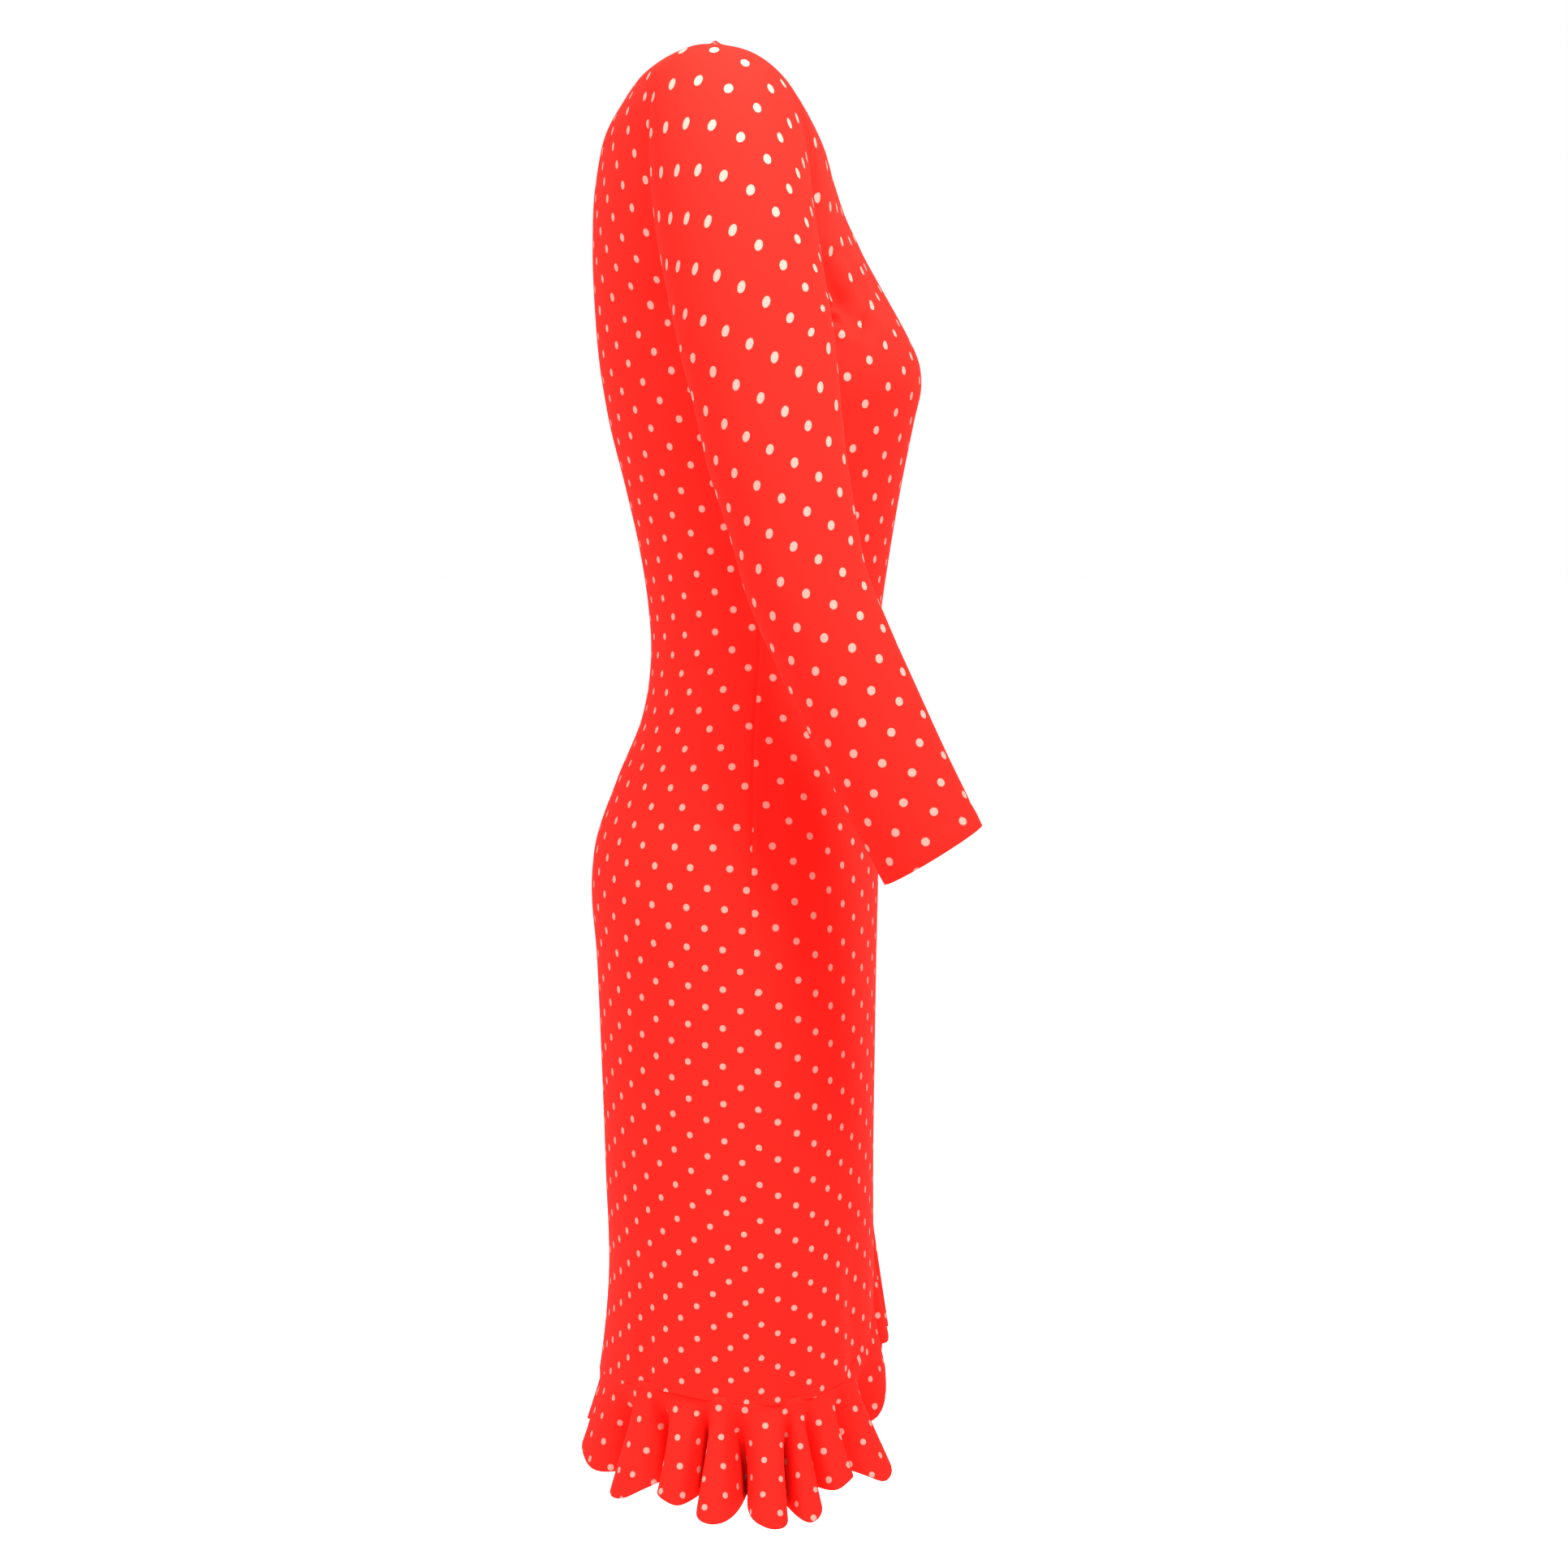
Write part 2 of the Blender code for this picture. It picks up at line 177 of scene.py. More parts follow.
# Where the dots lie: smooth curves fitted to the places of the dots in the photo. Across and up are
# counted in dots, and the dots sit at whole and at half counts. Each row gives, for both, the level
# and the first to third powers of the distance run across the cloth.
# Height up the cloth of the back panel; distance from centre back, less 0.12.
DOTS_BACK = [
    (-1.02, -4.288, 29.15, 51.5, 212, -12.574, 3.52, -7.0, 467),
    (-0.93, -3.944, 29.51, 54.5, 127, -8.621, 3.32, -11.4, 379),
    (-0.84, -3.849, 29.62, 51.5, 38, -4.921, 2.92, -17.0, 274),
    (-0.75, -3.899, 29.37, 48.8, 3, -1.485, 2.12, -18.5, 189),
    (-0.66, -4.063, 28.68, 40.0, 6, 1.790, 0.83, -16.4, 149),
    (-0.59, -4.001, 28.81, 28.8, -1, 4.312, -0.53, -13.7, 131),
    (-0.52, -3.522, 31.44, 24.5, 61, 6.832, -2.14, -12.1, 101),
    (-0.43, -3.309, 34.35, 18.2, 118, 10.014, -3.92, -11.5, 63),
    (-0.34, -3.489, 34.43, 18.7, 104, 13.068, -5.36, -12.9, 35),
    (-0.25, -3.748, 33.28, 25.7, 63, 15.879, -7.02, -19.5, 26),
    (-0.16, -4.124, 31.72, 37.0, 20, 18.434, -9.75, -29.9, 27),
    (-0.07, -4.829, 30.81, 42.6, 8, 21.043, -13.48, -36.7, 16),
    (0.02, -5.514, 30.12, 43.5, 5, 23.650, -17.31, -38.4, 2),
    (0.11, -6.199, 29.43, 44.4, 2, 26.257, -21.14, -40.1, 0),
]
# The same for the front panel, from centre front, less 0.12.
DOTS_FRONT = [
    (-1.02, 4.384, -22.72, -92.9, 0, -13.244, 3.40, 79.2, 0),
    (-0.93, 3.956, -23.91, -78.2, 0, -9.319, 3.89, 67.5, 0),
    (-0.84, 3.592, -25.07, -57.9, 0, -5.545, 4.25, 51.1, 0),
    (-0.75, 3.385, -26.30, -37.4, 0, -2.070, 4.21, 35.7, 0),
    (-0.66, 3.312, -27.77, -21.2, 0, 1.211, 3.89, 27.2, 0),
    (-0.56, 3.128, -29.72, -13.0, 0, 4.833, 2.59, 21.3, 0),
    (-0.46, 2.984, -30.34, -11.2, 0, 8.491, 0.33, 15.3, 0),
    (-0.37, 3.010, -28.73, -8.9, 0, 11.639, -2.07, 9.0, 0),
    (-0.30, 3.040, -26.24, -7.9, 0, 13.885, -3.68, 3.3, 0),
    (-0.24, 2.965, -23.19, -8.0, 0, 15.729, -5.05, -0.8, 0),
    (-0.18, 2.793, -19.49, -8.8, 0, 17.617, -6.73, -2.4, 0),
    (-0.12, 2.646, -15.65, -8.5, 0, 19.532, -8.64, -2.5, 0),
    (0.02, 2.304, -6.71, -5.8, 0, 24.000, -13.11, -2.0, 0),
    (0.08, 2.160, -6.70, -5.8, 0, 25.920, -15.00, -2.0, 0),
]
# Distance down the outer line of the sleeve; distance round the sleeve from that line.
DOTS_SLEEVE = [
    (0.00, -0.186, 25.25, -6.6, -104, 8.748, -11.92, -52.8, 658),
    (0.05, -0.457, 27.27, -4.0, -166, 7.448, -11.92, -45.7, 618),
    (0.10, -0.642, 29.04, -0.3, -228, 6.167, -12.04, -36.0, 557),
    (0.16, -0.753, 30.93, 2.6, -272, 4.656, -12.28, -20.1, 455),
    (0.22, -0.816, 32.51, 1.8, -279, 3.170, -12.57, -0.4, 323),
    (0.28, -0.867, 33.60, -2.9, -249, 1.602, -11.95, 16.5, 205),
    (0.34, -0.902, 33.79, -7.9, -209, -0.100, -10.04, 26.7, 122),
    (0.42, -0.912, 33.22, -11.7, -155, -2.466, -6.36, 32.1, 51),
    (0.50, -0.888, 32.70, -11.6, -97, -4.932, -2.82, 32.1, -8),
    (0.60, -0.996, 32.29, -9.9, -24, -8.105, 0.93, 29.0, -82),
    (0.66, -1.060, 32.00, -9.0, 10, -10.000, 3.10, 27.0, -120),
]
# Square millimetres of cloth to a dot of the named size; dots grow and shrink with the cloth.
DOT_AREA = 900.0
# Millimetres to a count on the sleeves, where the cloth draws the dots out lengthways.
SLEEVE_COUNT = 27.4
# Dots of the flounce: counts where the side line meets the seam, dots a metre across and down.
DOTS_FLOUNCE = (-0.14, -11.43, 29.5, 40.5)

# Folds of the body cloth: panel (1 front, -1 back, 0 both), width and depth, path of y and z.
# A depth below zero raises a soft ridge.
BODY_FOLDS = [
    (1, 0.0050, 0.0080, [
        (-0.0790, -0.158), (-0.0878, -0.181), (-0.0945, -0.195), (-0.0985, -0.204), (-0.1053, -0.213),
    ]),
    (1, 0.0180, -0.0040, [
        (-0.0100, -0.010), (-0.0450, -0.045), (-0.0700, -0.085), (-0.0850, -0.130), (-0.0950, -0.160),
    ]),
    (1, 0.0042, 0.0044, [(-0.1090, -0.197), (-0.1120, -0.208), (-0.1140, -0.222)]),
    (1, 0.0050, -0.0024, [(-0.0950, -0.145), (-0.1051, -0.168), (-0.1122, -0.1865), (-0.1140, -0.196)]),
    (1, 0.0028, 0.0030, [(-0.0760, -0.2035), (-0.0860, -0.2040), (-0.0929, -0.2075), (-0.0990, -0.2130)]),
    (-1, 0.0040, 0.0014, [(0.0320, -0.4620), (0.0135, -0.4565), (-0.0120, -0.4465)]),
    (0, 0.0026, 0.0009, [(0.0860, -0.5610), (0.0190, -0.5650), (-0.0374, -0.5710), (-0.1000, -0.5730)]),
    (-1, 0.0060, 0.0022, [(0.0500, -0.930), (0.0526, -0.980), (0.0560, -1.050)]),
    (-1, 0.0055, 0.0018, [(-0.0010, -0.940), (-0.0028, -0.990), (-0.0040, -1.050)]),
    (1, 0.0060, 0.0026, [(-0.0500, -0.900), (-0.0578, -0.990), (-0.0590, -1.060)]),
    (1, 0.0060, 0.0026, [(-0.0994, -0.880), (-0.1035, -0.968), (-0.1050, -1.050)]),
    (-1, 0.0200, -0.0015, [(0.0250, -0.900), (0.0250, -0.985), (0.0250, -1.060)]),
]

# How far an edge turns in and how far its outer line bends with it; the flounce's seam edge turns
# in less and runs up under the body cloth.
EDGE_DEPTH = 0.0035
EDGE_BEND = 0.0004
TUCK_DEPTH = 0.0016
TUCK_BEND = 0.0001
TUCK_RISE = 0.0040

# The side dart: its ends and how softly it fades at each, the line's depth and width, and the depth
# and width of the flatter cloth in front of it.
DART_LOW, DART_LOW_FADE = -0.665, 0.05
DART_HIGH, DART_HIGH_FADE = -0.20, 0.03
DART_DEPTH, DART_WIDTH = 0.0014, 0.0016
DART_FLAT_DEPTH, DART_FLAT_WIDTH = 0.0042, 0.022

# The distance across a panel that the dot tables count from, and where they run straight on.
PANEL_MIDDLE = 0.12
PANEL_REACH = (-0.06, 0.11)
SLEEVE_REACH = (-0.085, 0.06)

# The camera that took the photo, and the point that the lights face.
CAMERA_PLACE = (-2.8, -0.0502, -0.299)
CAMERA_LENS = 84.49
CAMERA_PITCH_DEG = 5.1428
LIGHT_TARGET = (0.0, 0.0, -0.45)


def smooth(xs, ys, at):
    """A smooth curve through the points xs, ys, read at the values in at."""
    xs = np.asarray(xs, float)
    ys = np.asarray(ys, float)
    at = np.asarray(at, float)
    step = np.diff(xs)
    slope = np.diff(ys) / step
    lean = np.empty(len(xs))
    lean[0] = slope[0]
    lean[-1] = slope[-1]
    lean[1:-1] = (slope[:-1] * step[1:] + slope[1:] * step[:-1]) / (step[:-1] + step[1:])
    i = np.clip(np.searchsorted(xs, at, side="right") - 1, 0, len(xs) - 2)
    t = np.clip((at - xs[i]) / step[i], 0.0, 1.0)
    h00 = (1 + 2 * t) * (1 - t) ** 2
    h10 = t * (1 - t) ** 2
    h01 = t * t * (3 - 2 * t)
    h11 = t * t * (t - 1)
    return h00 * ys[i] + h10 * step[i] * lean[i] + h01 * ys[i + 1] + h11 * step[i] * lean[i + 1]


def read(table, at, columns):
    """The named columns of a table, counted from 1, at the values of its first column."""
    keys = [row[0] for row in table]
    return [smooth(keys, [row[c] for row in table], at) for c in columns]


def body_point(angle, z):
    """Points of the right half body: angle 0 at centre front, pi at centre back."""
    front, back, half, side = read(BODY, z, (1, 2, 3, 4))
    power = 2.0 / SECTION_SQUARE
    across = np.abs(np.sin(angle)) ** power
    along = np.abs(np.cos(angle)) ** power
    depth = np.where(angle <= math.pi / 2, -(front + side), back - side)
    x = np.minimum(-half * across, -CENTRE_GAP / 2)
    return np.stack([x, side + depth * along, z + 0 * x], axis=-1)


def ring(points, angle, square):
    """A closed loop through its top, front, under and back points."""
    top, front, under, back = [np.asarray(points[k], float) for k in ("top", "front", "under", "back")]
    power = 2.0 / square
    up = np.sign(np.cos(angle)) * np.abs(np.cos(angle)) ** power
    out = np.sign(np.sin(angle)) * np.abs(np.sin(angle)) ** power
    middle = (top + under) / 2
    lift = (front + back) / 2 - middle
    up = np.asarray(up)[..., None]
    out = np.asarray(out)[..., None]
    return middle + (top - under) / 2 * up + (front - back) / 2 * out + lift * out ** 2


def inner_edge(up, facing):
    """The neck side of the yoke: front neck edge, or centre back and then back neck edge."""
    if facing > 0:
        return np.stack(read(NECK_FRONT, up, (1, 2, 3)), axis=-1)
    line = np.stack(read(CENTRE_BACK, up, (1, 2, 3)), axis=-1)
    edge = np.stack(read(NECK_BACK, up, (1, 2, 3)), axis=-1)
    return np.where(up[..., None] < CENTRE_BACK[-1][0], line, edge)


def yoke_point(share, up, facing):
    """Points between the neck edge (share 0) and the armhole edge (share 1)."""
    neck = inner_edge(up, facing)
    arm = ring(ARMHOLE, facing * math.pi * (1 - up), ARMHOLE_SQUARE)
    turn = np.radians(90.0 - (90.0 - SHOULDER_TURN_DEG) * up)
    power = 2.0 / SECTION_SQUARE
    across = np.sin(turn * share) ** power / np.sin(turn) ** power
    along = (1 - np.cos(turn * share) ** power) / (1 - np.cos(turn) ** power)
    x = neck[..., 0] + (arm[..., 0] - neck[..., 0]) * across
    y = neck[..., 1] + (arm[..., 1] - neck[..., 1]) * along
    z = neck[..., 2] + (arm[..., 2] - neck[..., 2]) * across
    y = y - facing * np.where(up > 0.999, SEAM_GAP / 2, 0.0)
    return np.stack([np.minimum(x, -CENTRE_GAP / 2), y, z], axis=-1)


def arm_ring(row):
    """The four points of one arm ring from a row of the arm table."""
    z, x, y, tilt, depth, width = row
    lean = math.radians(tilt)
    ahead = np.array([0.0, -math.cos(lean), math.sin(lean)]) * depth
    middle = np.array([x, y, z])
    side = np.array([-width, 0.0, 0.0])
    return {"top": middle + side, "front": middle + ahead, "under": middle - side, "back": middle - ahead}


def outward(angle, z):
    """Level direction out of the body at an angle, square to its section."""
    small = 1e-3
    low = np.clip(angle - small, 0.0, math.pi)
    high = np.clip(angle + small, 0.0, math.pi)
    run = body_point(high, z) - body_point(low, z)
    out = np.stack([-run[..., 1], run[..., 0], 0 * z], axis=-1)
    return out / np.linalg.norm(out, axis=-1, keepdims=True)


def seam_line(angle):
    """Points of the flounce seam round the right half body."""
    return body_point(angle, read(HEM, np.degrees(angle), (1,))[0])


def seam_drop(angle):
    """Direction down from the flounce seam, square to the seam and along the cloth."""
    small = 1e-3
    low = np.clip(angle - small, 0.0, math.pi)
    high = np.clip(angle + small, 0.0, math.pi)
    run = seam_line(high) - seam_line(low)
    run /= np.linalg.norm(run, axis=-1, keepdims=True)
    fall = np.array([0.0, 0.0, -1.0]) + run * run[..., 2:]
    fall[..., 0] *= np.clip(angle / math.radians(8.0), 0.0, 1.0)
    return fall / np.linalg.norm(fall, axis=-1, keepdims=True)


def flounce_point(count, down):
    """Points of the right flounce: count of crests from centre front, share of its drop."""
    phase = 2 * math.pi * count
    push = FLOUNCE_PUSH * np.clip(down - SEAM_BAND, 0.0, 1.0) * np.sin(phase) / (2 * math.pi)
    room = np.clip(count, 0.0, 1.0) * np.clip((10.4 - count) / 0.8, 0.0, 1.0)
    push = push + FLOUNCE_GATHER * (1 - down) ** 1.5 * np.sin(math.pi * count) * room
    counts = [row[0] for row in WAVES]
    degrees = smooth(counts, [row[1] for row in WAVES], count + push)
    swing, pinch = read(WAVES, count, (2, 3))
    angle = np.radians(np.clip(degrees, 0.0, 180.0))
    seam, drop, flare = read(HEM, np.degrees(angle), (1, 2, 3))
    out = outward(angle, seam)
    grown = np.clip((down - SEAM_BAND) / (1 - SEAM_BAND), 0.0, 1.0) ** 1.1
    trough = (1 - np.cos(phase)) / 2
    reach = (flare + swing * (1 - 2 * trough ** 1.4)) * grown
    reach = reach - pinch * trough ** 2.5 * (1 - np.exp(-((down / 0.42) ** 2)))
    fall = drop * down * (1 + down * (CREST_DIP - TROUGH_LIFT * trough))
    points = seam_line(angle) + out * reach[..., None]
    points += seam_drop(angle) * SEAM_GAP * 2.0
    points[..., 2] -= fall
    points[..., 0] -= CENTRE_GAP / 2 * (0.2 + 1.6 * grown)
    return points


def edge_lines(count, length, ends=(True, True)):
    """Shares from 0 to 1 in even steps, with closer lines beside the ends that are seams."""
    close = np.array([0.0007, 0.0016, 0.0030]) / length
    shares = list(np.linspace(0.0, 1.0, count + 1))
    step = shares[1]
    extra = [c for c in close if c < step * 0.8]
    if ends[0]:
        shares += extra
    if ends[1]:
        shares += [1 - c for c in extra]
    return np.array(sorted(shares))


def run_lengths(points, axis):
    """Length run along the cloth from the first line, for a grid of points."""
    steps = np.linalg.norm(np.diff(points, axis=axis), axis=-1)
    zero = np.zeros_like(np.take(steps, [0], axis=axis))
    return np.concatenate([zero, np.cumsum(steps, axis=axis)], axis=axis)


def square_out(points):
    """Directions square to a grid of points whose columns run to the right seen from outside."""
    across = np.gradient(points, axis=1)
    up = np.gradient(points, axis=0)
    out = np.cross(across, up)
    return out / np.maximum(np.linalg.norm(out, axis=-1, keepdims=True), 1e-12)


def dots_at(table, height, run, low, high):
    """Dot counts across and up for cloth at a height and a distance run, straight on past low and high."""
    inside = np.clip(run, low, high)
    counts = []
    for first in (1, 5):
        level, one, two, three = read(table, height, range(first, first + 4))
        slope = one + 2 * two * inside + 3 * three * inside ** 2
        counts.append(level + one * inside + two * inside ** 2 + three * inside ** 3 + slope * (run - inside))
    return np.stack(counts, axis=-1)


def dot_metric(points, pattern):
    """Square lengths in square millimetres that keep the dots round on the cloth, for each point."""
    across, up = np.gradient(points, axis=1), np.gradient(points, axis=0)
    ua, va = np.moveaxis(np.gradient(pattern, axis=1), -1, 0)
    ub, vb = np.moveaxis(np.gradient(pattern, axis=0), -1, 0)
    area = ua * vb - ub * va
    area = np.where(np.abs(area) < 1e-12, 1e-12, area)[..., None]
    first = (across * vb[..., None] - up * va[..., None]) / area
    second = (up * ua[..., None] - across * ub[..., None]) / area
    pairs = ((first, first), (first, second), (second, second))
    long, skew, wide = [(a * b).sum(-1) * 1e6 for a, b in pairs]
    size = np.sqrt(np.maximum(long * wide - skew ** 2, 1.0)) / DOT_AREA
    return np.stack([long, skew, wide], axis=-1) / np.clip(size, 0.5, 2.0)[..., None]


def folded(points, folds, facing, hold):
    """A grid of points with troughs and ridges pressed in along drawn paths, except where hold is 1."""
    out = square_out(points)
    flat = points[..., 1:]
    move = np.zeros(points.shape[:2])
    for panel, width, depth, path in folds:
        if panel and panel != facing:
            continue
        path = np.array(path)
        lengths = np.linalg.norm(np.diff(path, axis=0), axis=-1)
        best = np.full(move.shape, 9.0)
        along = np.zeros(move.shape)
        for k, length in enumerate(lengths):
            leg = path[k + 1] - path[k]
            t = np.clip(((flat - path[k]) @ leg) / length ** 2, 0.0, 1.0)
            distance = np.linalg.norm(flat - path[k] - t[..., None] * leg, axis=-1)
            share = (lengths[:k].sum() + t * length) / lengths.sum()
            along = np.where(distance < best, share, along)
            best = np.minimum(best, distance)
        fade = np.sin(math.pi * np.clip(along, 0.02, 0.98)) ** 0.7
        banks = 0.45 * np.exp(-((best - 2 * width) / width) ** 2)
        move -= depth * fade * (np.exp(-(best / width) ** 2) - banks)
    return points + out * (move * (1 - hold))[..., None]


def eased(points, first, last, hold, rounds):
    """Rubs out the bend across some rows of a grid, less where hold is near 1."""
    span = np.arange(first, last)
    weight = np.sin(math.pi * (span - first + 0.5) / len(span)) ** 2
    weight = weight[:, None, None] * (1 - hold)[None, :, None]
    points = points.copy()
    for _ in range(rounds):
        middle = (points[first - 1:last - 1] + points[first + 1:last + 1]) / 2
        points[first:last] += (middle - points[first:last]) * 0.6 * weight
    return points


def turned_in(points, sides, depth=EDGE_DEPTH, bend=EDGE_BEND, tuck=0.0):
    """Adds a line beyond each named side where the cloth turns in as a seam allowance.

    With a tuck, the line on the high side also runs that far up under the cloth above."""
    out = square_out(points)
    for side in sides:
        axis, at = {"left": (1, 0), "right": (1, -1), "low": (0, 0), "high": (0, -1)}[side]
        edge = np.take(points, [at], axis=axis)
        inward = -np.take(out, [at], axis=axis)
        edge_moved = edge + inward * bend
        flange = edge + inward * depth
        if side == "high":
            flange = flange + np.array((0.0, 0.0, tuck))
        if axis == 1:
            points[:, at] = edge_moved[:, 0]
        else:
            points[at] = edge_moved[0]
        parts = [flange, points] if at == 0 else [points, flange]
        points = np.concatenate(parts, axis=axis)
        pad = np.take(out, [at], axis=axis)
        out = np.concatenate([pad, out] if at == 0 else [out, pad], axis=axis)
    return points


def padded(pattern, sides):
    """The dot counts repeated onto the turned-in lines."""
    for side in sides:
        axis, at = {"left": (1, 0), "right": (1, -1), "low": (0, 0), "high": (0, -1)}[side]
        edge = np.take(pattern, [at], axis=axis)
        pattern = np.concatenate([edge, pattern] if at == 0 else [pattern, edge], axis=axis)
    return pattern


def add_grid(bm, points, pattern, metric):
    """A bmesh grid bent to a table of points, with its dot counts and dot metric."""
    dots = bm.loops.layers.uv.get("dots") or bm.loops.layers.uv.new("dots")
    kept = bm.loops.layers.float_vector.get("dot_metric") or bm.loops.layers.float_vector.new("dot_metric")
    points = np.concatenate([np.minimum(points[..., :1], -CENTRE_GAP / 2), points[..., 1:]], axis=-1)
    rows, columns = points.shape[:2]
    made = bmesh.ops.create_grid(bm, x_segments=columns - 1, y_segments=rows - 1, size=0.5)["verts"]
    if len(made) != rows * columns:
        raise RuntimeError("the grid has %d corners, not %d" % (len(made), rows * columns))
    places = {}
    for vert in made:
        j = int(round((vert.co.x + 0.5) * (columns - 1)))
        i = int(round((vert.co.y + 0.5) * (rows - 1)))
        places[vert] = (i, j)
    for vert, (i, j) in places.items():
        vert.co = points[i, j]
    for face in {f for v in made for f in v.link_faces}:
        face.smooth = True
        for loop in face.loops:
            loop[dots].uv = pattern[places[loop.vert]]
            loop[kept] = metric[places[loop.vert]]


def finish_cloth(context, bm, name, mirrored, node, material, even=True):
    """Turns a bmesh of open cloth into a thin piece that stands for its node."""
    if mirrored:
        bmesh.ops.scale(bm, vec=(-1.0, 1.0, 1.0), verts=bm.verts)
        bmesh.ops.reverse_faces(bm, faces=bm.faces)
    mesh = bpy.data.meshes.new(name)
    bm.to_mesh(mesh)
    bm.free()
    piece = bpy.data.objects.new(name, mesh)
    context.scene.collection.objects.link(piece)
    mesh.materials.append(material)
    wall = piece.modifiers.new("wall", "SOLIDIFY")
    wall.thickness = WALL
    wall.offset = -1.0
    wall.use_even_offset = even
    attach(piece, "root")
    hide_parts(node)
    return piece


def panel_points(facing):
    """Points of the front or back panel of the right half, from the flounce seam to the shoulder."""
    share = edge_lines(60, 0.21)
    angle = share * math.pi / 2
    angle = angle - 0.055 * math.pi * np.sin(2 * angle) * facing
    if facing < 0:
        angle = math.pi - angle
    hem = read(HEM, np.degrees(angle), (1,))[0]
    up = edge_lines(220, 0.80, (True, False))
    z = hem[None, :] + (CHEST_LINE - hem[None, :]) * up[:, None]
    low = body_point(np.broadcast_to(angle, z.shape), z)
    steps = edge_lines(84, 0.24, (False, True))[1:]
    shares = angle / (math.pi / 2) if facing > 0 else (math.pi - angle) / (math.pi / 2)
    shares = np.broadcast_to(shares, (len(steps), len(shares)))
    yoke = yoke_point(shares, np.broadcast_to(steps[:, None], shares.shape), facing)
    points = np.concatenate([low, yoke])
    height = np.concatenate([z, CHEST_LINE + run_lengths(points[len(up) - 1:], 0)[1:]])
    run = np.abs(points[:, :1, 0]) + run_lengths(points, 1)
    points = eased(points, len(up) - 14, len(up) + 13, share ** 6, 60)
    return points, height, run


def side_line(points, height, run, facing):
    """The body cloth drawn in along the side dart, and a little flatter in front of it."""
    away = run[:, -1:] - run
    there = np.clip((height - DART_LOW) / DART_LOW_FADE, 0.0, 1.0)
    there = there * np.clip((DART_HIGH - height) / DART_HIGH_FADE, 0.0, 1.0)
    sink = DART_DEPTH * np.exp(-((away / DART_WIDTH) ** 2))
    if facing > 0:
        sink = sink + DART_FLAT_DEPTH * away / DART_FLAT_WIDTH * np.exp(1 - away / DART_FLAT_WIDTH)
    return points - square_out(points) * (sink * there * facing * -1)[..., None]


def body_grids():
    """Grids of the front and back panels of the right half, with their dot counts and metric."""
    panels = {}
    for facing, table in ((1.0, DOTS_FRONT), (-1.0, DOTS_BACK)):
        points, height, run = panel_points(facing)
        pattern = dots_at(table, height, run - PANEL_MIDDLE, *PANEL_REACH)
        panels[facing] = [side_line(points, height, run, facing), height, run, pattern]
    apart = panels[1.0][3][:, -1] - panels[-1.0][3][:, -1]
    joined = np.clip((-0.64 - panels[1.0][1][:, -1]) / 0.03, 0.0, 1.0)[:, None, None]
    grids = []
    rows = int(np.argmax(panels[1.0][1][:, -1] > CHEST_LINE + 1e-6))
    for facing in (1.0, -1.0):
        points, height, run, pattern = panels[facing]
        hold = np.exp(-(((run[:, -1:] - run) / 0.004) ** 2)) * (np.arange(len(points)) >= rows)[:, None]
        near = np.exp(-(((run[:, -1:] - run) / 0.04) ** 2))[..., None]
        pattern = pattern - facing * 0.5 * apart[:, None] * joined * near
        metric = dot_metric(points, pattern)
        if facing > 0:
            points, pattern = points[:, ::-1], pattern[:, ::-1]
            metric, hold = metric[:, ::-1], hold[:, ::-1]
        grids.append([folded(points, BODY_FOLDS, facing, hold), pattern, metric, facing])
    front, back = grids[0][0], grids[1][0]
    front[:rows, 0] = back[:rows, -1] = (front[:rows, 0] + back[:rows, -1]) / 2
    return grids


def sleeve_grid():
    """Grid of the right sleeve from the open cuff up to the armhole."""
    angle = np.linspace(-math.pi, math.pi, 113)
    first = arm_ring(ARM[0])
    rings = []
    for t in edge_lines(44, 0.20, (True, False))[:-1]:
        points = {}
        for name, (near, far) in CAP_HANDLES.items():
            ends = [np.array(p, float) for p in (ARMHOLE[name], near, far, first[name])]
            weights = ((1 - t) ** 3, 3 * t * (1 - t) ** 2, 3 * t * t * (1 - t), t ** 3)
            points[name] = sum(w * e for w, e in zip(weights, ends))
        square = ARMHOLE_SQUARE + (2.0 - ARMHOLE_SQUARE) * t
        loop = ring(points, angle, square)
        loop[:, 0] -= SEAM_GAP * (1.8 - 0.8 * np.cos(angle)) * max(0.0, 1.0 - 7.0 * t)
        rings.append(loop)
    upside = ARM[::-1]
    for t in edge_lines(84, 0.40, (False, True)):
        z = ARM[0][0] + (ARM[-1][0] - ARM[0][0]) * t
        row = [float(z)] + [float(v) for v in read(upside, z, (1, 2, 3, 4, 5))]
        rings.append(ring(arm_ring(row), angle, 2.0))
    points = np.array(rings)
    around = run_lengths(points, 1)
    middle = len(angle) // 2
    around = around - around[:, middle:middle + 1]
    down = run_lengths(points, 0)[:, middle:middle + 1] + 0 * around
    pattern = dots_at(DOTS_SLEEVE, down, around, *SLEEVE_REACH)
    metric = np.broadcast_to((SLEEVE_COUNT ** 2, 0.0, SLEEVE_COUNT ** 2), points.shape)
    left = run_lengths(points[::-1], 0)[::-1]
    hem = 0.0005 * np.exp(-(((left - 0.017) / 0.0022) ** 2))
    hem = hem - 0.0003 * np.exp(-(((left - 0.008) / 0.006) ** 2))
    points = points[::-1] - square_out(points[::-1]) * hem[::-1][..., None]
    return points, pattern[::-1], metric[::-1]


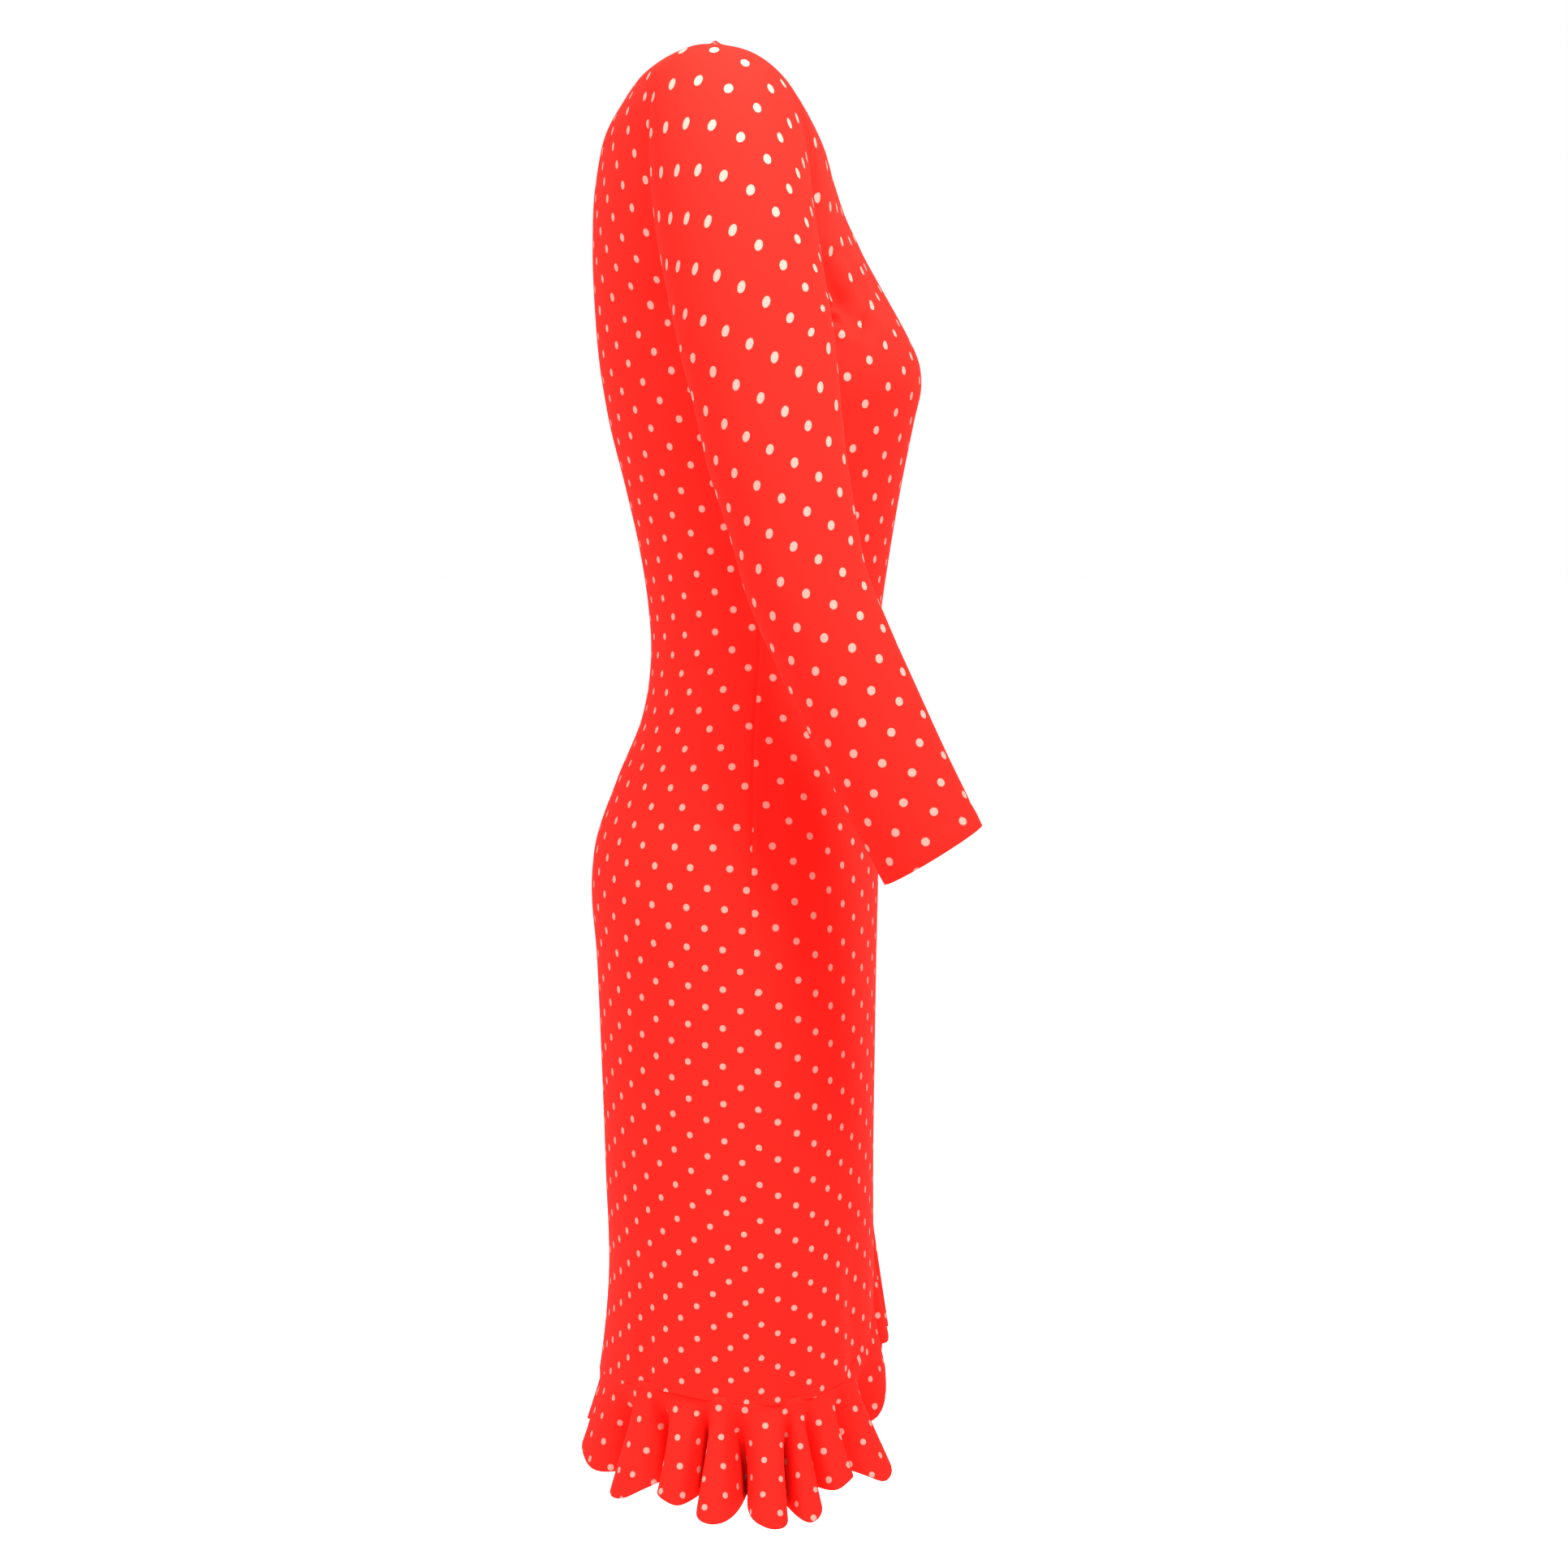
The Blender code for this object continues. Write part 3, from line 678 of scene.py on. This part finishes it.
def flounce_grid():
    """Grid of the right half flounce from its wavy free edge up to the seam."""
    last = WAVES[-1][0]
    counts = edge_lines(252, 0.60) * last
    down = edge_lines(22, 0.075)[::-1]
    count_grid = np.broadcast_to(counts, (len(down), len(counts)))
    down_grid = np.broadcast_to(down[:, None], count_grid.shape)
    points = flounce_point(count_grid, down_grid)
    fall = run_lengths(points[::-1], 0)[::-1]
    across = run_lengths(points, 1)
    side = int(np.argmin(np.abs(points[-1, :, 1] - BODY[0][4])))
    across = across[:, side:side + 1] - across
    turn = (across[0] - across[-1]) / fall[0].mean()
    step = np.gradient(across[-1])
    flat_x = np.cumsum(np.cos(turn) * step)
    flat_y = np.cumsum(np.sin(turn) * step)
    flat_x -= flat_x[side]
    flat_y -= flat_y[side]
    u0, v0, per_u, per_v = DOTS_FLOUNCE
    u = u0 + (flat_x + fall * np.sin(turn)) * per_u
    v = v0 + (flat_y - fall * np.cos(turn)) * per_v
    pattern = np.stack([u, v], axis=-1)
    metric = dot_metric(points, pattern)
    return points[:, ::-1], pattern[:, ::-1], metric[:, ::-1]


def dotted_crepe(look):
    """Red crepe printed with small pale round dots, fine pebbled weave and a soft sheen."""
    mat = bpy.data.materials.get("dotted_crepe_cloth")
    if mat:
        return mat
    mat = bpy.data.materials.new("dotted_crepe_cloth")
    mat.use_nodes = True
    nodes, links = mat.node_tree.nodes, mat.node_tree.links
    shader = nodes["Principled BSDF"]

    def math_node(kind, a, b=None, c=None):
        node = nodes.new("ShaderNodeMath")
        node.operation = kind
        for socket, value in zip(node.inputs, (a, b, c)):
            if value is None:
                continue
            if isinstance(value, (int, float)):
                socket.default_value = value
            else:
                links.new(value, socket)
        return node.outputs[0]

    laid = nodes.new("ShaderNodeUVMap")
    laid.uv_map = "dots"
    split = nodes.new("ShaderNodeSeparateXYZ")
    links.new(laid.outputs["UV"], split.inputs[0])
    metric = nodes.new("ShaderNodeAttribute")
    metric.attribute_name = "dot_metric"
    weigh = nodes.new("ShaderNodeSeparateXYZ")
    links.new(metric.outputs["Vector"], weigh.inputs[0])
    near = []
    for shift in (0.0, 0.5):
        du, dv = [
            math_node("SUBTRACT", math_node("FRACT", math_node("ADD", split.outputs[axis], 0.5 + shift)), 0.5)
            for axis in (0, 1)
        ]
        across = math_node("MULTIPLY", math_node("MULTIPLY", du, du), weigh.outputs[0])
        both = math_node("MULTIPLY", du, dv)
        skew = math_node("MULTIPLY", both, math_node("MULTIPLY", weigh.outputs[1], 2.0))
        up = math_node("MULTIPLY", math_node("MULTIPLY", dv, dv), weigh.outputs[2])
        near.append(math_node("SQRT", math_node("ADD", math_node("ADD", across, up), skew)))
    reach = math_node("MINIMUM", near[0], near[1])
    place = nodes.new("ShaderNodeTexCoord")
    wander = nodes.new("ShaderNodeTexNoise")
    wander.inputs["Scale"].default_value = 900.0
    wander.inputs["Detail"].default_value = 2.0
    links.new(place.outputs["Object"], wander.inputs["Vector"])
    ragged = math_node("MULTIPLY_ADD", wander.outputs["Fac"], 0.5, -0.25)
    reach = math_node("ADD", reach, ragged)
    edge = nodes.new("ShaderNodeMapRange")
    edge.interpolation_type = "SMOOTHSTEP"
    radius = look.dot_size / 2 * 1000
    edge.inputs["From Min"].default_value = radius * 0.90
    edge.inputs["From Max"].default_value = radius * 1.10
    edge.inputs["To Min"].default_value = 1.0
    edge.inputs["To Max"].default_value = 0.0
    links.new(reach, edge.inputs["Value"])
    paint = nodes.new("ShaderNodeMix")
    paint.data_type = "RGBA"
    paint.inputs["A"].default_value = (*look.cloth_colour, 1.0)
    paint.inputs["B"].default_value = (*look.dot_colour, 1.0)
    links.new(edge.outputs[0], paint.inputs["Factor"])
    links.new(paint.outputs["Result"], shader.inputs["Base Color"])
    pebble = nodes.new("ShaderNodeTexNoise")
    pebble.inputs["Scale"].default_value = 1500.0
    pebble.inputs["Detail"].default_value = 3.0
    links.new(place.outputs["Object"], pebble.inputs["Vector"])
    bump = nodes.new("ShaderNodeBump")
    bump.inputs["Strength"].default_value = 0.25
    bump.inputs["Distance"].default_value = 0.0004
    links.new(pebble.outputs["Fac"], bump.inputs["Height"])
    links.new(bump.outputs[0], shader.inputs["Normal"])
    shader.inputs["Roughness"].default_value = 0.80
    shader.inputs["Specular IOR Level"].default_value = 0.02
    shader.inputs["Sheen Weight"].default_value = 0.01
    shader.inputs["Sheen Roughness"].default_value = 0.5
    shader.inputs["Sheen Tint"].default_value = (1.0, 0.45, 0.25, 1.0)
    return mat


class DressLook(bpy.types.PropertyGroup):
    """Sizes and colours of the cloth."""

    dot_size: FloatProperty(
        name="Dot size", description="Diameter of a dot", default=0.0052, unit="LENGTH",
    )
    cloth_colour: FloatVectorProperty(
        name="Cloth", description="Colour of the crepe",
        default=(0.68, 0.0084, 0.0056), size=3, subtype="COLOR",
    )
    dot_colour: FloatVectorProperty(
        name="Dots", description="Colour of the dots",
        default=(0.50, 0.155, 0.126), size=3, subtype="COLOR",
    )


class StageLook(bpy.types.PropertyGroup):
    """Light and floor."""

    floor_height: FloatProperty(
        name="Floor", description="Height of the floor below the shoulders",
        default=-1.40, unit="LENGTH",
    )
    floor_colour: FloatVectorProperty(
        name="Floor colour", description="Pale floor",
        default=(1.0, 1.0, 1.0), size=3, subtype="COLOR",
    )
    key_power: FloatProperty(
        name="Key light", description="Power of the main soft light",
        default=95.0, min=0.0, unit="POWER",
    )
    air_light: FloatProperty(
        name="Air light", description="Strength of the even light all round",
        default=1.0, min=0.0,
    )


class DRESS_OT_body(bpy.types.Operator):
    """Both body halves as fine cloth"""

    bl_idname = "dress.body"
    bl_label = "Body Halves"

    def execute(self, context):
        look = context.scene.dress_look
        for side, mirrored in (("right", False), ("left", True)):
            bm = bmesh.new()
            for points, pattern, metric, facing in body_grids():
                sides = ("right" if facing > 0 else "left", "high")
                add_grid(bm, turned_in(points, sides), padded(pattern, sides), padded(metric, sides))
            bmesh.ops.remove_doubles(bm, verts=bm.verts, dist=1e-6)
            name, node = "body_%s_cloth" % side, "body_" + side
            piece = finish_cloth(context, bm, name, mirrored, node, dotted_crepe(look))
        return {"FINISHED"}


class DRESS_OT_sleeves(bpy.types.Operator):
    """Both set-in sleeves as fine cloth"""

    bl_idname = "dress.sleeves"
    bl_label = "Sleeves"

    def execute(self, context):
        look = context.scene.dress_look
        for side, mirrored in (("right", False), ("left", True)):
            bm = bmesh.new()
            points, pattern, metric = sleeve_grid()
            sides = ("high",)
            add_grid(bm, turned_in(points, sides), padded(pattern, sides), padded(metric, sides))
            bmesh.ops.remove_doubles(bm, verts=bm.verts, dist=1e-6)
            name, node = "sleeve_%s_cloth" % side, "sleeve_" + side
            piece = finish_cloth(context, bm, name, mirrored, node, dotted_crepe(look))
        return {"FINISHED"}


class DRESS_OT_flounce(bpy.types.Operator):
    """Both flounce halves as fine cloth"""

    bl_idname = "dress.flounce"
    bl_label = "Flounce"

    def execute(self, context):
        look = context.scene.dress_look
        for side, mirrored in (("right", False), ("left", True)):
            bm = bmesh.new()
            points, pattern, metric = flounce_grid()
            sides = ("high", "left", "right")
            tucked = turned_in(points, sides[:1], TUCK_DEPTH, TUCK_BEND, TUCK_RISE)
            tucked = turned_in(tucked, sides[1:])
            add_grid(bm, tucked, padded(pattern, sides), padded(metric, sides))
            name, node = "flounce_%s_cloth" % side, "flounce_" + side
            piece = finish_cloth(context, bm, name, mirrored, node, dotted_crepe(look), even=False)
        return {"FINISHED"}


class DRESS_OT_stage(bpy.types.Operator):
    """Pale floor, soft light and camera"""

    bl_idname = "dress.stage"
    bl_label = "Stage"

    def execute(self, context):
        scene = context.scene
        stage = scene.dress_stage
        bm = bmesh.new()
        bmesh.ops.create_grid(bm, x_segments=1, y_segments=1, size=30.0)
        bmesh.ops.translate(bm, verts=bm.verts, vec=(0.0, 0.0, stage.floor_height))
        mesh = bpy.data.meshes.new("floor")
        bm.to_mesh(mesh)
        bm.free()
        floor = bpy.data.objects.new("floor", mesh)
        scene.collection.objects.link(floor)
        mat = bpy.data.materials.new("pale_floor")
        mat.use_nodes = True
        shader = mat.node_tree.nodes["Principled BSDF"]
        shader.inputs["Base Color"].default_value = (*stage.floor_colour, 1.0)
        shader.inputs["Roughness"].default_value = 0.9
        mesh.materials.append(mat)
        world = bpy.data.worlds.new("studio_air")
        world.use_nodes = True
        air = world.node_tree.nodes["Background"]
        air.inputs["Color"].default_value = (1.0, 1.0, 1.0, 1.0)
        air.inputs["Strength"].default_value = stage.air_light
        scene.world = world
        for name, place, size, power in (
            ("key_light", (-0.9, -0.50, 0.85), 0.5, stage.key_power),
            ("back_light", (-0.9, 1.5, 1.0), 0.8, stage.key_power * 0.90),
            ("front_light", (-0.1, -1.6, 1.0), 0.8, stage.key_power * 0.12),
        ):
            lamp = bpy.data.lights.new(name, "AREA")
            lamp.shape = "DISK"
            lamp.size = size
            lamp.energy = power
            obj = bpy.data.objects.new(name, lamp)
            obj.location = place
            toward = np.array(LIGHT_TARGET) - np.array(place)
            tilt = math.acos(-toward[2] / np.linalg.norm(toward))
            obj.rotation_euler = (tilt, 0.0, math.atan2(toward[1], toward[0]) - math.pi / 2)
            scene.collection.objects.link(obj)
        lens = bpy.data.cameras.new("camera")
        lens.sensor_width = 36.0
        lens.lens = CAMERA_LENS
        lens.clip_start = 0.05
        lens.clip_end = 200.0
        camera = bpy.data.objects.new("camera", lens)
        camera.location = CAMERA_PLACE
        camera.rotation_euler = (math.radians(90.0 - CAMERA_PITCH_DEG), 0.0, math.radians(-90.0))
        scene.collection.objects.link(camera)
        scene.camera = camera
        scene.view_settings.view_transform = "Standard"
        return {"FINISHED"}


class DRESS_PT_panel(bpy.types.Panel):
    """Lists the parts of the dress"""

    bl_label = "Cocktail Dress"
    bl_idname = "DRESS_PT_panel"
    bl_space_type = "VIEW_3D"
    bl_region_type = "UI"
    bl_category = "Dress"

    def draw(self, context):
        look = context.scene.dress_look
        stage = context.scene.dress_stage
        for name in ("dot_size", "cloth_colour", "dot_colour"):
            self.layout.prop(look, name)
        for name in ("floor_height", "floor_colour", "key_power", "air_light"):
            self.layout.prop(stage, name)
        for operator in OPERATORS:
            self.layout.operator(operator.bl_idname)


OPERATORS = (DRESS_OT_body, DRESS_OT_sleeves, DRESS_OT_flounce, DRESS_OT_stage)
CLASSES = (DressLook, StageLook, *OPERATORS, DRESS_PT_panel)


def register():
    """Adds the classes and their settings."""
    for cls in CLASSES:
        bpy.utils.register_class(cls)
    bpy.types.Scene.dress_look = PointerProperty(type=DressLook)
    bpy.types.Scene.dress_stage = PointerProperty(type=StageLook)


def unregister():
    """Takes the classes and their settings away."""
    del bpy.types.Scene.dress_stage
    del bpy.types.Scene.dress_look
    for cls in reversed(CLASSES):
        bpy.utils.unregister_class(cls)


def main():
    """Builds the whole dress."""
    register()
    bpy.ops.dress.body()
    bpy.ops.dress.sleeves()
    bpy.ops.dress.flounce()
    bpy.ops.dress.stage()


if __name__ == "__main__":
    main()
